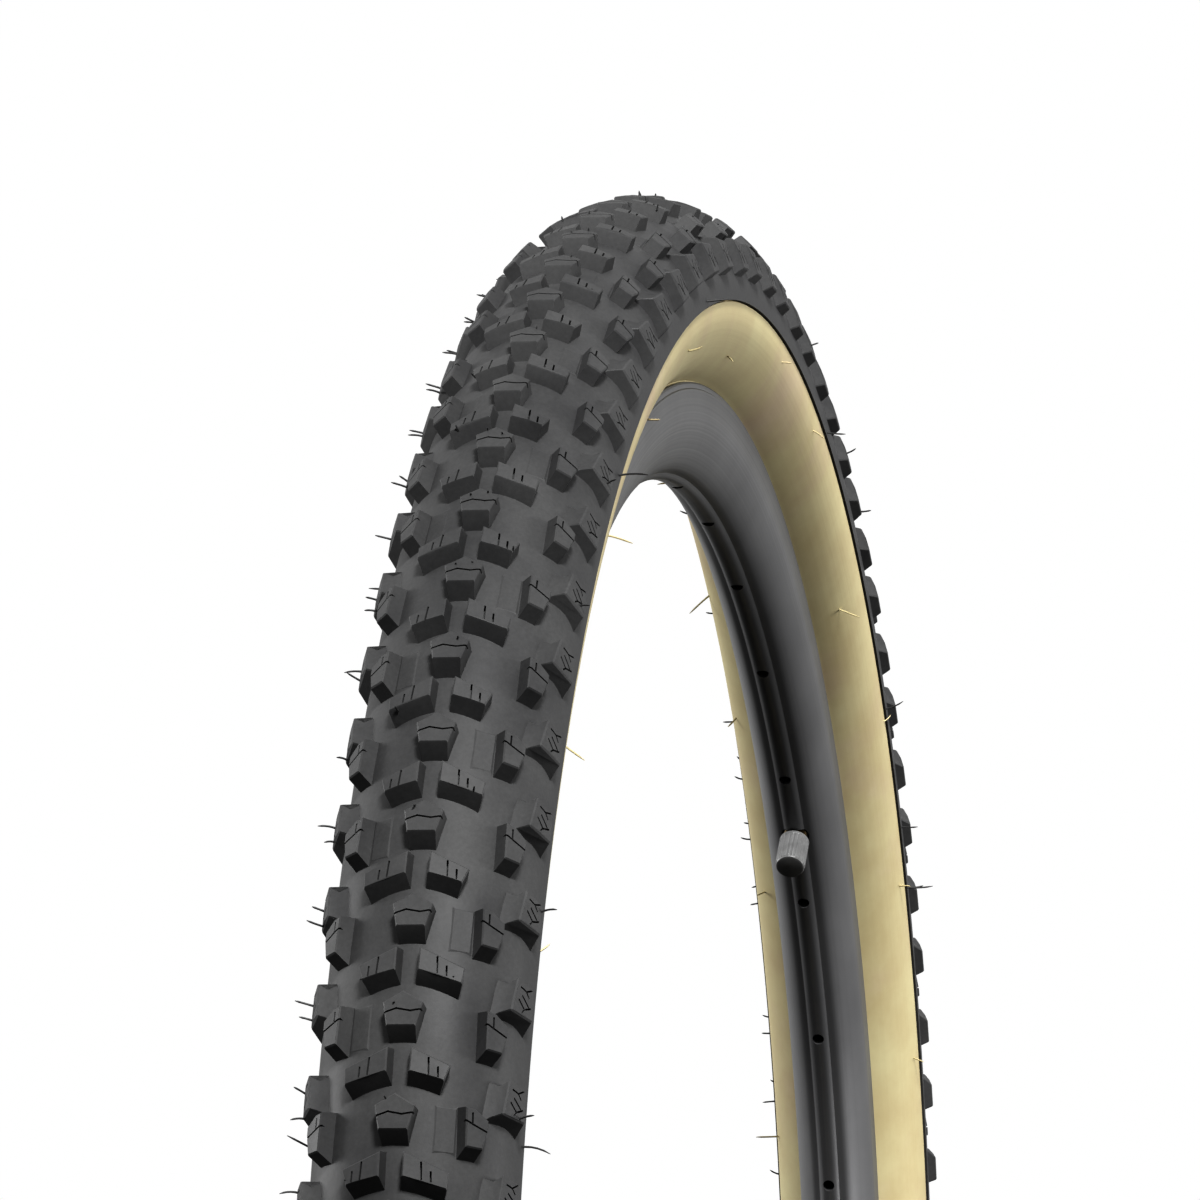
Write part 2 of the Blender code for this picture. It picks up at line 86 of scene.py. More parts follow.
# Bead and casing foot
BEAD_GAUGE = 7.7 * MM
BEAD_RING = 313.4 * MM
BEAD_WIRE = 1.0 * MM
LEG_INNER = 5.75 * MM
LEG_OUTER = 9.75 * MM
LEG_BOTTOM = 311.4 * MM
LEG_TOP = 315.0 * MM
LEG_WALL = 0.7 * MM

# Rim
RIM_STEPS = 288
CREST_RADIUS = 289.4 * MM
WELL_RADIUS = 305.2 * MM
SPOKES = 36
SPOKE_HOLE = 1.8 * MM
VALVE_HOLE = 4.3 * MM

# Valve (heights are distances from the wheel's centre)
VALVE_ANGLE = math.radians(45)
STEM_TIP = 279.1 * MM
STEM_MINOR = 3.55 * MM
STEM_MAJOR = 3.88 * MM
THREAD_PITCH = 0.794 * MM
THREAD_TOP = 289.0 * MM
CAP_END = 276.4 * MM
CAP_MOUTH = 288.8 * MM
CAP_RADIUS = 4.65 * MM
CAP_BORE = 4.15 * MM
CAP_WALL = 1.1 * MM
CAP_RIBS = 24
CAP_RIB_DEPTH = 0.3 * MM
STEM_SIDES = 48
STEM_ROWS = 78

# Vent hairs
TREAD_HAIR_RADIUS = 0.24            # mm
WALL_HAIR_RADIUS = 0.25
HAIR_SMOOTH_ANGLE = 60
WALL_HAIR_SPACING = 3               # pitches from one sidewall hair to the next
TREAD_HAIR_SEED = 11
WALL_HAIR_SEED = 23

# Camera
CAMERA_PLACE = (-1.83839, -0.33853, 0.05128)
CAMERA_RIGHT = (0.19189, -0.98140, 0.00499)
CAMERA_UP = (-0.10850, -0.01616, 0.99397)
CAMERA_LENS = 199.97
SENSOR_WIDTH = 36.0

FULL_TURN = 2 * math.pi


# ---------------------------------------------------------------- mesh helpers
def new_object(name, mesh):
    thing = bpy.data.objects.new(name, mesh)
    bpy.context.scene.collection.objects.link(thing)
    return thing


def mesh_object(name, verts, faces, smooth_angle=None):
    mesh = bpy.data.meshes.new(name)
    mesh.from_pydata(verts, [], faces)
    bm = bmesh.new()
    bm.from_mesh(mesh)
    bmesh.ops.recalc_face_normals(bm, faces=bm.faces)
    bm.to_mesh(mesh)
    bm.free()
    if smooth_angle is not None:
        mesh.shade_smooth()
        mesh.set_sharp_from_angle(angle=math.radians(smooth_angle))
    return new_object(name, mesh)


def around_axle(side, radius, angle):
    return Vector((radius * math.cos(angle), side, radius * math.sin(angle)))


def millimetres(points):
    return [(side * MM, radius * MM) for side, radius in points]


def ring_faces(steps, count):
    """The faces between each outline of a closed ring and the next one."""
    faces = []
    for i in range(steps):
        here = i * count
        there = (i + 1) % steps * count
        for j in range(count):
            k = (j + 1) % count
            faces.append((here + j, here + k, there + k, there + j))
    return faces


def lathe(name, outline, steps, smooth_angle=30, start=0.0):
    """A ring around the axle from its closed outline of (sideways, radius) points."""
    verts = []
    for i in range(steps):
        angle = start + FULL_TURN * i / steps
        verts += [around_axle(side, radius, angle) for side, radius in outline]
    return mesh_object(name, verts, ring_faces(steps, len(outline)), smooth_angle)


def mirrored(points):
    return [(-side, radius) for side, radius in reversed(points)]


def section_point(radius, degrees):
    angle = math.radians(degrees)
    return radius * math.sin(angle), SECTION_CENTRE + radius * math.cos(angle)


def settle(thing, smooth_angle=None):
    """Put the result of the object's modifiers into its mesh."""
    shape = bpy.data.meshes.new_from_object(thing.evaluated_get(bpy.context.evaluated_depsgraph_get()))
    thing.modifiers.clear()
    thing.data = shape
    if smooth_angle is not None:
        shape.shade_smooth()
        shape.set_sharp_from_angle(angle=math.radians(smooth_angle))


def carve(thing, cutter):
    """Cut one mesh out of another, and remove the cutter."""
    modifier = thing.modifiers.new("carve", "BOOLEAN")
    modifier.operation = "DIFFERENCE"
    modifier.solver = "EXACT"
    modifier.use_self = True
    modifier.object = cutter
    settle(thing)
    bpy.data.objects.remove(cutter, do_unlink=True)


# ---------------------------------------------------------------- materials
def node(tree, kind, **settings):
    made = tree.nodes.new(kind)
    for key, value in settings.items():
        setattr(made, key, value)
    return made


def link(tree, a, b):
    tree.links.new(a, b)


def new_material(name, roughness, metallic=0.0, specular=0.5):
    made = bpy.data.materials.new(name)
    made.use_nodes = True
    shader = made.node_tree.nodes["Principled BSDF"]
    shader.inputs["Roughness"].default_value = roughness
    shader.inputs["Metallic"].default_value = metallic
    shader.inputs["Specular IOR Level"].default_value = specular
    return made, made.node_tree, shader


def place(tree):
    """The point's place on the object, in metres."""
    return node(tree, "ShaderNodeTexCoord").outputs["Object"]


def noise(tree, where, scale, detail=3.0, roughness=0.55):
    made = node(tree, "ShaderNodeTexNoise")
    made.inputs["Scale"].default_value = scale
    made.inputs["Detail"].default_value = detail
    made.inputs["Roughness"].default_value = roughness
    link(tree, where, made.inputs["Vector"])
    return made.outputs["Fac"]


def ramp(tree, value, stops):
    made = node(tree, "ShaderNodeValToRGB")
    link(tree, value, made.inputs["Fac"])
    bar = made.color_ramp
    bar.elements[0].position = stops[0][0]
    bar.elements[0].color = (*stops[0][1], 1)
    bar.elements[1].position = stops[-1][0]
    bar.elements[1].color = (*stops[-1][1], 1)
    for position, colour in stops[1:-1]:
        bar.elements.new(position).color = (*colour, 1)
    return made.outputs["Color"]


def spread(tree, value, low, high):
    made = node(tree, "ShaderNodeMapRange")
    link(tree, value, made.inputs["Value"])
    made.inputs["From Min"].default_value = 0.3
    made.inputs["From Max"].default_value = 0.7
    made.inputs["To Min"].default_value = low
    made.inputs["To Max"].default_value = high
    return made.outputs["Result"]


def mix(tree, factor, first, second, blend="MIX"):
    made = node(tree, "ShaderNodeMix", data_type="RGBA", blend_type=blend)
    if isinstance(factor, float):
        made.inputs["Factor"].default_value = factor
    else:
        link(tree, factor, made.inputs["Factor"])
    link(tree, first, made.inputs[6])
    link(tree, second, made.inputs[7])
    return made.outputs[2]


def calc(tree, operation, first, second):
    made = node(tree, "ShaderNodeMath", operation=operation)
    for socket, value in zip(made.inputs, (first, second)):
        if isinstance(value, (int, float)):
            socket.default_value = value
        else:
            link(tree, value, socket)
    return made.outputs[0]


def bump(tree, shader, height, strength, distance, under=None):
    made = node(tree, "ShaderNodeBump")
    made.inputs["Strength"].default_value = strength
    made.inputs["Distance"].default_value = distance
    link(tree, height, made.inputs["Height"])
    if under is not None:
        link(tree, under, made.inputs["Normal"])
    link(tree, made.outputs["Normal"], shader.inputs["Normal"])
    return made.outputs["Normal"]


def wheel_radius(tree, where):
    """The distance from the axle, in metres."""
    split = node(tree, "ShaderNodeSeparateXYZ")
    link(tree, where, split.inputs[0])
    squares = calc(tree, "ADD", calc(tree, "POWER", split.outputs["X"], 2.0),
                   calc(tree, "POWER", split.outputs["Z"], 2.0))
    return calc(tree, "SQRT", squares, 0.0), split.outputs["Y"]


def tread_rubber():
    made, tree, shader = new_material("tread_rubber_looks", 0.5, specular=0.35)
    where = place(tree)
    broad = noise(tree, where, 42.0, 4.0)
    fine = noise(tree, where, 900.0, 3.0, 0.7)
    base = ramp(tree, broad, [(0.3, (0.05, 0.05, 0.051)), (0.7, (0.08, 0.08, 0.08))])
    dust = ramp(tree, fine, [(0.35, (0.82, 0.82, 0.82)), (0.75, (1.0, 1.0, 1.0))])
    link(tree, mix(tree, 1.0, base, dust, "MULTIPLY"), shader.inputs["Base Color"])
    link(tree, spread(tree, broad, 0.5, 0.66), shader.inputs["Roughness"])
    first = bump(tree, shader, fine, 0.25, 0.00012)
    bump(tree, shader, noise(tree, where, 160.0, 2.0), 0.2, 0.0004, first)
    return made


def tan_rubber():
    made, tree, shader = new_material("tan_rubber_looks", 0.6, specular=0.3)
    where = place(tree)
    broad = noise(tree, where, 14.0, 5.0, 0.6)
    blotch = noise(tree, where, 55.0, 4.0, 0.6)
    fine = noise(tree, where, 1200.0, 2.0)
    yellow = ramp(tree, broad, [(0.32, (0.55, 0.47, 0.35)), (0.5, (0.55, 0.495, 0.32)),
                                (0.68, (0.57, 0.525, 0.34))])
    worn = ramp(tree, blotch, [(0.35, (0.9, 0.86, 0.82)), (0.65, (1.0, 1.0, 1.0))])
    link(tree, mix(tree, 0.8, yellow, worn, "MULTIPLY"), shader.inputs["Base Color"])
    link(tree, spread(tree, blotch, 0.52, 0.68), shader.inputs["Roughness"])
    radius, side = wheel_radius(tree, where)
    rings = node(tree, "ShaderNodeCombineXYZ")
    link(tree, calc(tree, "MULTIPLY", radius, 60.0), rings.inputs["X"])
    link(tree, calc(tree, "MULTIPLY", side, 60.0), rings.inputs["Y"])
    first = bump(tree, shader, noise(tree, rings.outputs[0], 9.0, 2.0), 0.12, 0.0004)
    bump(tree, shader, fine, 0.12, 0.00008, first)
    return made


def anodised():
    made, tree, shader = new_material("rim_anodised_looks", 0.45, metallic=0.6)
    where = place(tree)
    radius, side = wheel_radius(tree, where)
    rings = node(tree, "ShaderNodeCombineXYZ")
    link(tree, calc(tree, "MULTIPLY", radius, 100.0), rings.inputs["X"])
    link(tree, calc(tree, "MULTIPLY", side, 100.0), rings.inputs["Y"])
    drawn = noise(tree, rings.outputs[0], 14.0, 3.0, 0.7)
    cloud = noise(tree, where, 30.0, 3.0)
    base = ramp(tree, cloud, [(0.3, (0.165, 0.165, 0.168)), (0.7, (0.2, 0.2, 0.203))])
    lines = ramp(tree, drawn, [(0.3, (0.9, 0.9, 0.9)), (0.7, (1.0, 1.0, 1.0))])
    link(tree, mix(tree, 1.0, base, lines, "MULTIPLY"), shader.inputs["Base Color"])
    link(tree, spread(tree, drawn, 0.38, 0.5), shader.inputs["Roughness"])
    bump(tree, shader, noise(tree, where, 1500.0, 2.0), 0.08, 0.00005)
    return made


def turned_metal(name, dark, light, roughness):
    """Machined metal with fine turning marks and a little tarnish."""
    made, tree, shader = new_material(name, roughness, metallic=1.0)
    where = place(tree)
    tarnish = noise(tree, where, 220.0, 4.0)
    marks = noise(tree, where, 2600.0, 2.0, 0.7)
    link(tree, ramp(tree, tarnish, [(0.3, dark), (0.7, light)]), shader.inputs["Base Color"])
    link(tree, spread(tree, tarnish, roughness + 0.1, roughness - 0.05), shader.inputs["Roughness"])
    bump(tree, shader, marks, 0.12, 0.00004)
    return made


def stem_metal_painted_shade(name, dark, light, roughness, root):
    """Brass with painted shade near the rim: from root outward it fades to near black."""
    made = turned_metal(name, dark, light, roughness)
    tree = made.node_tree
    socket = tree.nodes["Principled BSDF"].inputs["Base Color"]
    plain = socket.links[0].from_socket
    radius, _ = wheel_radius(tree, place(tree))
    # painted shade: near black from root to 0.3 mm past it, over the stem between the cap's mouth and the rim
    shade = ramp(tree, calc(tree, "MULTIPLY", calc(tree, "SUBTRACT", radius, root), 1 / MM),
                 [(0.0, (1.0, 1.0, 1.0)), (0.3, (0.04, 0.04, 0.04))])
    link(tree, mix(tree, 1.0, plain, shade, "MULTIPLY"), socket)
    return made


def grained(name, dark, light, roughness, scale=300.0, grain=1500.0, strength=0.2):
    """Moulded plastic or rubber, with cloudy colour and a fine grain."""
    made, tree, shader = new_material(name, roughness, specular=0.4)
    where = place(tree)
    cloud = noise(tree, where, scale, 3.0)
    link(tree, ramp(tree, cloud, [(0.3, dark), (0.7, light)]), shader.inputs["Base Color"])
    link(tree, spread(tree, cloud, roughness - 0.06, roughness + 0.08), shader.inputs["Roughness"])
    bump(tree, shader, noise(tree, where, grain, 2.0), strength, 0.00006)
    return made


def casing_cloth():
    """Rubbered nylon plies, with their cords crossing on the slant."""
    made, tree, shader = new_material("casing_cloth_looks", 0.75, specular=0.2)
    where = place(tree)
    cords = []
    for tilt in (0.8, -0.8):
        turn = node(tree, "ShaderNodeMapping")
        turn.inputs["Rotation"].default_value = (tilt, tilt, 0.0)
        link(tree, where, turn.inputs["Vector"])
        wave = node(tree, "ShaderNodeTexWave")
        wave.inputs["Scale"].default_value = 260.0
        wave.inputs["Distortion"].default_value = 0.6
        link(tree, turn.outputs[0], wave.inputs["Vector"])
        cords.append(wave.outputs["Fac"])
    woven = calc(tree, "MAXIMUM", cords[0], cords[1])
    colour = ramp(tree, woven, [(0.2, (0.2, 0.16, 0.1)), (0.9, (0.42, 0.35, 0.2))])
    link(tree, colour, shader.inputs["Base Color"])
    bump(tree, shader, woven, 0.4, 0.0002)
    return made


# ---------------------------------------------------------------- tread
def shifted_corner(before, here, after, out_before, out_after):
    """A corner moved so that its two edges shift outward by their own distances (mm)."""
    first = (Vector(here) - Vector(before)).normalized()
    second = (Vector(after) - Vector(here)).normalized()
    normal_a = Vector((first.y, -first.x))
    normal_b = Vector((second.y, -second.x))
    cross = normal_a.x * normal_b.y - normal_a.y * normal_b.x
    if abs(cross) < 0.2:
        return Vector(here) + (normal_a + normal_b) * (out_before + out_after) / 4
    a = normal_a.dot(Vector(here)) + out_before
    b = normal_b.dot(Vector(here)) + out_after
    return Vector(((a * normal_b.y - b * normal_a.y) / cross, (b * normal_a.x - a * normal_b.x) / cross))


def offset(outline, distances):
    """An outline whose edges are moved outward, each by its own distance."""
    count = len(outline)
    turn = sum(outline[i - 1][0] * outline[i][1] - outline[i][0] * outline[i - 1][1] for i in range(count))
    sign = 1 if turn > 0 else -1
    moved = []
    for i in range(count):
        before = distances[i - 1] * sign
        after = distances[i] * sign
        moved.append(shifted_corner(outline[i - 1], outline[i], outline[(i + 1) % count], before, after))
    return moved


def block(outline, height, slopes, bevel=0.36):
    """A knob in flat mm: top outline, height, and how far each edge's side spreads at its foot."""
    depth = height + ROOT
    foot = offset(outline, [slope * depth / height for slope in slopes])
    edge = offset(outline, [0.0] * len(outline))
    top = offset(outline, [-bevel] * len(outline))
    verts = [(*p, -ROOT) for p in foot] + [(*p, height - bevel * 0.8) for p in edge]
    verts += [(*p, height) for p in top]
    count = len(outline)
    faces = [tuple(range(count)), tuple(range(2 * count, 3 * count))]
    for level in (0, count):
        for i in range(count):
            j = (i + 1) % count
            faces.append((level + i, level + j, level + count + j, level + count + i))
    return mesh_object("knob_form", verts, faces)


def sipe_blades(lines, bottom, top):
    """Thin upright blades along the given lines, in flat mm."""
    verts, faces = [], []
    for line in lines:
        for first, second in zip(line, line[1:]):
            a, b = Vector(first), Vector(second)
            along = (b - a).normalized() * SIPE_WIDTH / 2
            across = Vector((-along.y, along.x))
            corners = [a - along - across, b + along - across, b + along + across, a - along + across]
            start = len(verts)
            verts += [(*c, bottom) for c in corners] + [(*c, top) for c in corners]
            faces.append(tuple(start + i for i in (3, 2, 1, 0)))
            faces.append(tuple(start + i for i in (4, 5, 6, 7)))
            for i in range(4):
                j = (i + 1) % 4
                faces.append((start + i, start + j, start + 4 + j, start + 4 + i))
    return mesh_object("sipe_blades", verts, faces)


def taken(form):
    """The corners and faces of a form, which is then removed."""
    verts = [tuple(v.co) for v in form.data.vertices]
    faces = [tuple(p.vertices) for p in form.data.polygons]
    bpy.data.objects.remove(form, do_unlink=True)
    return verts, faces


def knob_form(outline, height, slopes, sipes):
    """The corners and faces of one siped knob in flat mm (along, across, height)."""
    form = block(outline, height, slopes)
    carve(form, sipe_blades(sipes, height - SIPE_DEPTH, height + 1.0))
    return taken(form)


def centre_knob():
    outline = [(7.0, 0.0), (4.2, 4.7), (-1.8, 3.4), (-1.8, -3.4), (4.2, -4.7)]
    sipe = [(1.0, -5.6), (2.5, -1.3), (1.9, 1.9), (2.7, 5.6)]
    return knob_form(outline, 4.3, (0.5, 0.7, 2.7, 0.7, 0.5), [sipe])


def wing_knob(long):
    reach = 1.4 if long else 0.0
    outline = [(5.9, 2.7), (2.1 - reach * 0.4, 12.3 + reach), (-2.0 - reach * 0.5, 10.9 + reach * 1.7),
               (-0.2, 2.6)]
    sipes = [[(3.3, 7.0), (-0.6, 7.2)], [(1.2, 9.3), (-1.0, 9.4)]]
    return knob_form(outline, 3.8, (0.5, 0.5, 2.3, 0.5), sipes)


def transition_knob():
    outline = [(5.4, -2.8), (5.2, -0.4), (3.0, 3.2), (0.6, 3.2), (-4.3, 2.0), (-4.3, -2.4)]
    sipes = [[(2.1, -2.6), (1.4, -1.0), (-0.1, 3.6)], [(1.4, -1.0), (4.0, -1.1)]]
    return knob_form(outline, 3.8, (0.5, 0.5, 0.5, 0.6, 2.3, 0.8), sipes)


def shoulder_knob():
    """The big side knob: a ramp and a steep step up to its top, and a long sloped leading face."""
    rear = [(14.9, 23.4, -ROOT), (13.7, 26.6, 1.5), (15.1, 28.0, 3.6), (14.4, 35.8, 2.5), (15.0, 37.4, -ROOT)]
    front = [(2.8, 21.4, -ROOT), (5.0, 24.6, 1.5), (6.0, 26.6, 3.6), (6.4, 35.8, 2.5), (2.4, 37.4, -ROOT)]
    count = len(rear)
    faces = [tuple(range(count)), tuple(range(count, 2 * count))]
    for i in range(count):
        j = (i + 1) % count
        faces.append((i, j, count + j, count + i))
    form = mesh_object("knob_form", rear + front, faces)
    modifier = form.modifiers.new("edges", "BEVEL")
    modifier.width = 0.3
    modifier.segments = 1
    modifier.limit_method = "ANGLE"
    modifier.angle_limit = math.radians(24)
    settle(form)
    sipes = [[(13.0, 29.4), (12.7, 31.6), (14.2, 34.4)], [(12.7, 31.6), (11.6, 33.0)],
             [(11.0, 30.2), (9.2, 33.2)], [(9.6, 29.0), (7.9, 31.4), (9.3, 34.2)], [(7.9, 31.4), (6.9, 30.6)]]
    carve(form, sipe_blades(sipes, 1.6, 5.0))
    return taken(form)


def band_pad():
    """The low smooth pad between a wing and the next knob out."""
    outline = [(5.4, 10.2), (5.4, 15.4), (-5.2, 15.4), (-5.2, 10.2)]
    return taken(block(outline, 0.14, (1.6, 1.2, 1.6, 1.6), 0.02))


def on_tread(point, side, turn, shift_along, shift_across):
    """A flat knob point (mm) carried onto the tire at an angle around the axle."""
    along, across, height = point
    angle = turn - (along + shift_along) / RUN_RADIUS
    slant = (across + shift_across) / KNOB_ARC
    section = BAND_RADIUS + height * MM
    return around_axle(-side * section * math.sin(slant), SECTION_CENTRE + section * math.cos(slant), angle)


def add_knob(verts, faces, form, side, turn, shift_along=0.0, shift_across=0.0):
    start = len(verts)
    verts.extend(on_tread(point, side, turn, shift_along, shift_across) for point in form[0])
    faces.extend(tuple(start + i for i in face) for face in form[1])


def band_outline():
    """The black band's closed section, from one edge over the crown to the other and back."""
    outer = [section_point(SKIN_RADIUS + BAND_LIP, -TREAD_EDGE)]
    for i in range(-BAND_ROWS, BAND_ROWS + 1):
        share = (abs(i) * BAND_ROW_STEP - BAND_THINS_FROM) / BAND_THINS_OVER
        thinning = min(1.0, max(0.0, share))
        outer.append(section_point(BAND_RADIUS - BAND_THINNING * thinning, i * BAND_ROW_STEP))
    outer.append(section_point(SKIN_RADIUS + BAND_LIP, TREAD_EDGE))
    inner = [section_point(SKIN_INSIDE, TREAD_EDGE - i * 7.5) for i in range(25)]
    return outer + inner


def make_tread(surface):
    verts, faces = taken(lathe("tread_band_form", band_outline(), PITCHES * 3))
    centre = centre_knob()
    wings = (wing_knob(False), wing_knob(True))
    transition = transition_knob()
    shoulder = shoulder_knob()
    pad = band_pad()
    for i in range(PITCHES):
        turn = i * PITCH
        add_knob(verts, faces, centre, 1, turn)
        for side in (1, -1):
            odd = (i + (side < 0)) % 2
            add_knob(verts, faces, wings[odd], side, turn - PITCH / 2)
            across = math.radians(TRANSITION_PLACE[odd]) * KNOB_ARC
            add_knob(verts, faces, transition, side, turn, TRANSITION_SHIFT[odd], across)
            add_knob(verts, faces, shoulder, side, turn, SHOULDER_SHIFT[odd])
            if not odd:
                add_knob(verts, faces, pad, side, turn)
    tread = mesh_object("tread_with_knobs", verts, faces, TREAD_SMOOTH_ANGLE)
    tread.data.materials.append(surface)
    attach(tread, "wheel")
    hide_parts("tread")


# ---------------------------------------------------------------- sidewalls, casing, beads
def make_sidewall(name, cad_node, sign, surface):
    angles = [SKIN_START + (SKIN_END - SKIN_START) * i / 24 for i in range(25)]
    outside = [section_point(SKIN_RADIUS, angle) for angle in angles]
    inside = [section_point(SKIN_INSIDE, angle) for angle in reversed(angles)]
    foot = millimetres([(10.35, 316.6), (10.2, 313.6), (9.95, 313.6), (10.0, 316.4)])
    outline = [(sign * side, radius) for side, radius in outside + foot + inside[1:]]
    wall = lathe(name, outline, PITCHES * 2)
    wall.data.materials.append(surface)
    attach(wall, "wheel")
    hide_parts(cad_node)


def make_casing(surface):
    angles = [5 * i for i in range(31)]
    outer = [section_point(CASING_RADIUS, angle) for angle in angles]
    inner = [section_point(CASING_RADIUS - CASING_WALL, angle) for angle in angles]
    foot = [
        (LEG_INNER + LEG_WALL, LEG_TOP - 0.4 * MM),
        (LEG_INNER + LEG_WALL, LEG_BOTTOM + LEG_WALL),
        (LEG_OUTER, LEG_BOTTOM + LEG_WALL),
        (LEG_OUTER, LEG_BOTTOM),
        (LEG_INNER, LEG_BOTTOM),
        (LEG_INNER, LEG_TOP),
    ]
    right = outer + foot + list(reversed(inner[1:]))
    left = mirrored(right[1:])
    casing = lathe("casing_plies", right + [inner[0]] + left, PITCHES * 2)
    casing.data.materials.append(surface)
    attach(casing, "wheel")
    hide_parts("casing")


def make_bead(name, cad_node, sign, surface):
    outline = []
    for i in range(16):
        angle = FULL_TURN * i / 16
        side = sign * BEAD_GAUGE + BEAD_WIRE * math.cos(angle)
        outline.append((side, BEAD_RING + BEAD_WIRE * math.sin(angle)))
    bead = lathe(name, outline, PITCHES * 2, 70)
    bead.data.materials.append(surface)
    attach(bead, "wheel")
    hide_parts(cad_node)


# ---------------------------------------------------------------- rim
def outward(angle):
    return Matrix.Rotation(math.pi / 2 - angle, 4, "Y")


def drill_form():
    """Round cutters for the spoke holes, and one right through for the valve."""
    bm = bmesh.new()
    bottom = CREST_RADIUS - 4 * MM
    middle = (CREST_RADIUS + WELL_RADIUS) / 2
    for i in range(SPOKES):
        length = middle - bottom
        where = outward(FULL_TURN * i / SPOKES) @ Matrix.Translation((0, 0, bottom + length / 2))
        bmesh.ops.create_cone(bm, cap_ends=True, segments=24, radius1=SPOKE_HOLE, radius2=SPOKE_HOLE,
                              depth=length, matrix=where)
    length = WELL_RADIUS + 4 * MM - bottom
    where = outward(VALVE_ANGLE) @ Matrix.Translation((0, 0, bottom + length / 2))
    bmesh.ops.create_cone(bm, cap_ends=True, segments=32, radius1=VALVE_HOLE, radius2=VALVE_HOLE,
                          depth=length, matrix=where)
    mesh = bpy.data.meshes.new("rim_drills")
    bm.to_mesh(mesh)
    bm.free()
    return new_object("rim_drills", mesh)


def make_rim(surface):
    half = millimetres([
        (0.7, 289.4), (1.5, 289.6), (2.2, 290.0), (2.7, 290.6), (3.2, 291.2), (3.9, 291.5), (4.8, 291.8),
        (5.7, 292.5), (6.9, 293.9), (8.3, 296.1),
        (9.6, 298.8), (10.8, 301.8), (11.6, 304.4), (11.95, 306.2), (12.0, 307.0), (12.0, 314.2),
        (11.7, 314.5), (11.7, 315.7), (11.35, 316.2), (10.85, 316.2), (10.5, 315.8), (10.6, 314.6),
        (10.6, 310.2), (10.3, 309.9), (7.4, 309.9), (7.0, 309.6), (6.1, 305.5), (5.7, 305.2),
    ])
    rim = lathe("rim_drawn", half + mirrored(half), RIM_STEPS)
    hollow = millimetres([(3.6, 292.9), (6.0, 295.0), (8.6, 299.4), (10.3, 304.6), (10.4, 306.0),
                          (10.4, 308.2), (6.9, 303.8)])
    carve(rim, lathe("rim_hollow", hollow + mirrored(hollow), RIM_STEPS // 2, start=0.003))
    carve(rim, drill_form())
    rim.data.shade_smooth()
    rim.data.set_sharp_from_angle(angle=math.radians(26))
    rim.data.materials.clear()
    rim.data.materials.append(surface)
    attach(rim, "wheel")
    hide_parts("rim")


# ---------------------------------------------------------------- valve
def on_valve(radius, turn, height):
    """A point by the valve's axis: turn around it, and distance from the wheel's centre."""
    return outward(VALVE_ANGLE) @ Vector((radius * math.cos(turn), radius * math.sin(turn), height))


def turned(name, outline, sides, smooth_angle, reach):
    """A piece on the valve's axis, from its closed outline of (radius, height).

    reach gives the real radius of an outline point at the given side.
    """
    verts = []
    for i in range(sides):
        turn = FULL_TURN * i / sides
        verts += [on_valve(reach(radius, height, i), turn, height) for radius, height in outline]
    return mesh_object(name, verts, ring_faces(sides, len(outline)), smooth_angle)


def threaded_radius(height, turn):
    """The radius of the stem's screw thread, which fades out above its last turn."""
    phase = (height - STEM_TIP) / THREAD_PITCH - turn / FULL_TURN
    wave = abs(phase - math.floor(phase) - 0.5) * 2
    fade = min(1.0, max(0.0, (THREAD_TOP - height) / THREAD_PITCH))
    fade = min(fade, max(0.0, (height - STEM_TIP) / THREAD_PITCH * 2))
    return STEM_MINOR + (STEM_MAJOR - STEM_MINOR) * min(1.0, wave * 1.4) * fade


def make_stem(surface):
    low = STEM_TIP + 0.05 * MM
    verts = []
    heights = [low + (THREAD_TOP - low) * i / STEM_ROWS for i in range(STEM_ROWS + 1)]
    rest = millimetres([(3.85, 289.3), (3.85, 306.6), (5.2, 306.6), (5.4, 306.8), (5.4, 307.6), (1.25, 307.6),
                        (1.25, 296.0), (2.65, 296.0), (2.65, 279.3), (2.85, 279.1), (3.3, 279.1)])
    for i in range(STEM_SIDES):
        turn = FULL_TURN * i / STEM_SIDES
        verts += [on_valve(threaded_radius(height, turn), turn, height) for height in heights]
        verts += [on_valve(radius, turn, height) for radius, height in rest]
    faces = ring_faces(STEM_SIDES, len(heights) + len(rest))
    stem = mesh_object("valve_stem_threaded", verts, faces, 60)
    stem.data.materials.append(surface)
    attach(stem, "wheel")
    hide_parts("valve_stem")


def make_cap(surface):
    steps = 6
    sides = CAP_RIBS * steps
    low = CAP_END + 1.0 * MM
    high = CAP_MOUTH - 1.3 * MM

    def reach(radius, height, i):
        if radius < CAP_BORE + 0.3 * MM or not low <= height <= high:
            return radius
        wave = 0.5 + 0.5 * math.cos(FULL_TURN * i / steps)
        return radius - CAP_RIB_DEPTH * (1 - wave)

    outline = [(0.02 * MM, CAP_END), (CAP_RADIUS - 1.0 * MM, CAP_END),
               (CAP_RADIUS - 0.45 * MM, CAP_END + 0.25 * MM), (CAP_RADIUS - 0.2 * MM, CAP_END + 0.8 * MM),
               (CAP_RADIUS, low), (CAP_RADIUS, high),
               (CAP_RADIUS - 0.1 * MM, high + 0.2 * MM), (CAP_RADIUS, CAP_MOUTH - 0.9 * MM),
               (CAP_RADIUS, CAP_MOUTH - 0.2 * MM), (CAP_RADIUS - 0.2 * MM, CAP_MOUTH), (CAP_BORE, CAP_MOUTH),
               (CAP_BORE, CAP_END + CAP_WALL), (0.02 * MM, CAP_END + CAP_WALL)]
    cap = turned("valve_cap_ribbed", outline, sides, 40, reach)
    cap.data.materials.append(surface)
    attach(cap, "cap")
    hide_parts("valve_cap")


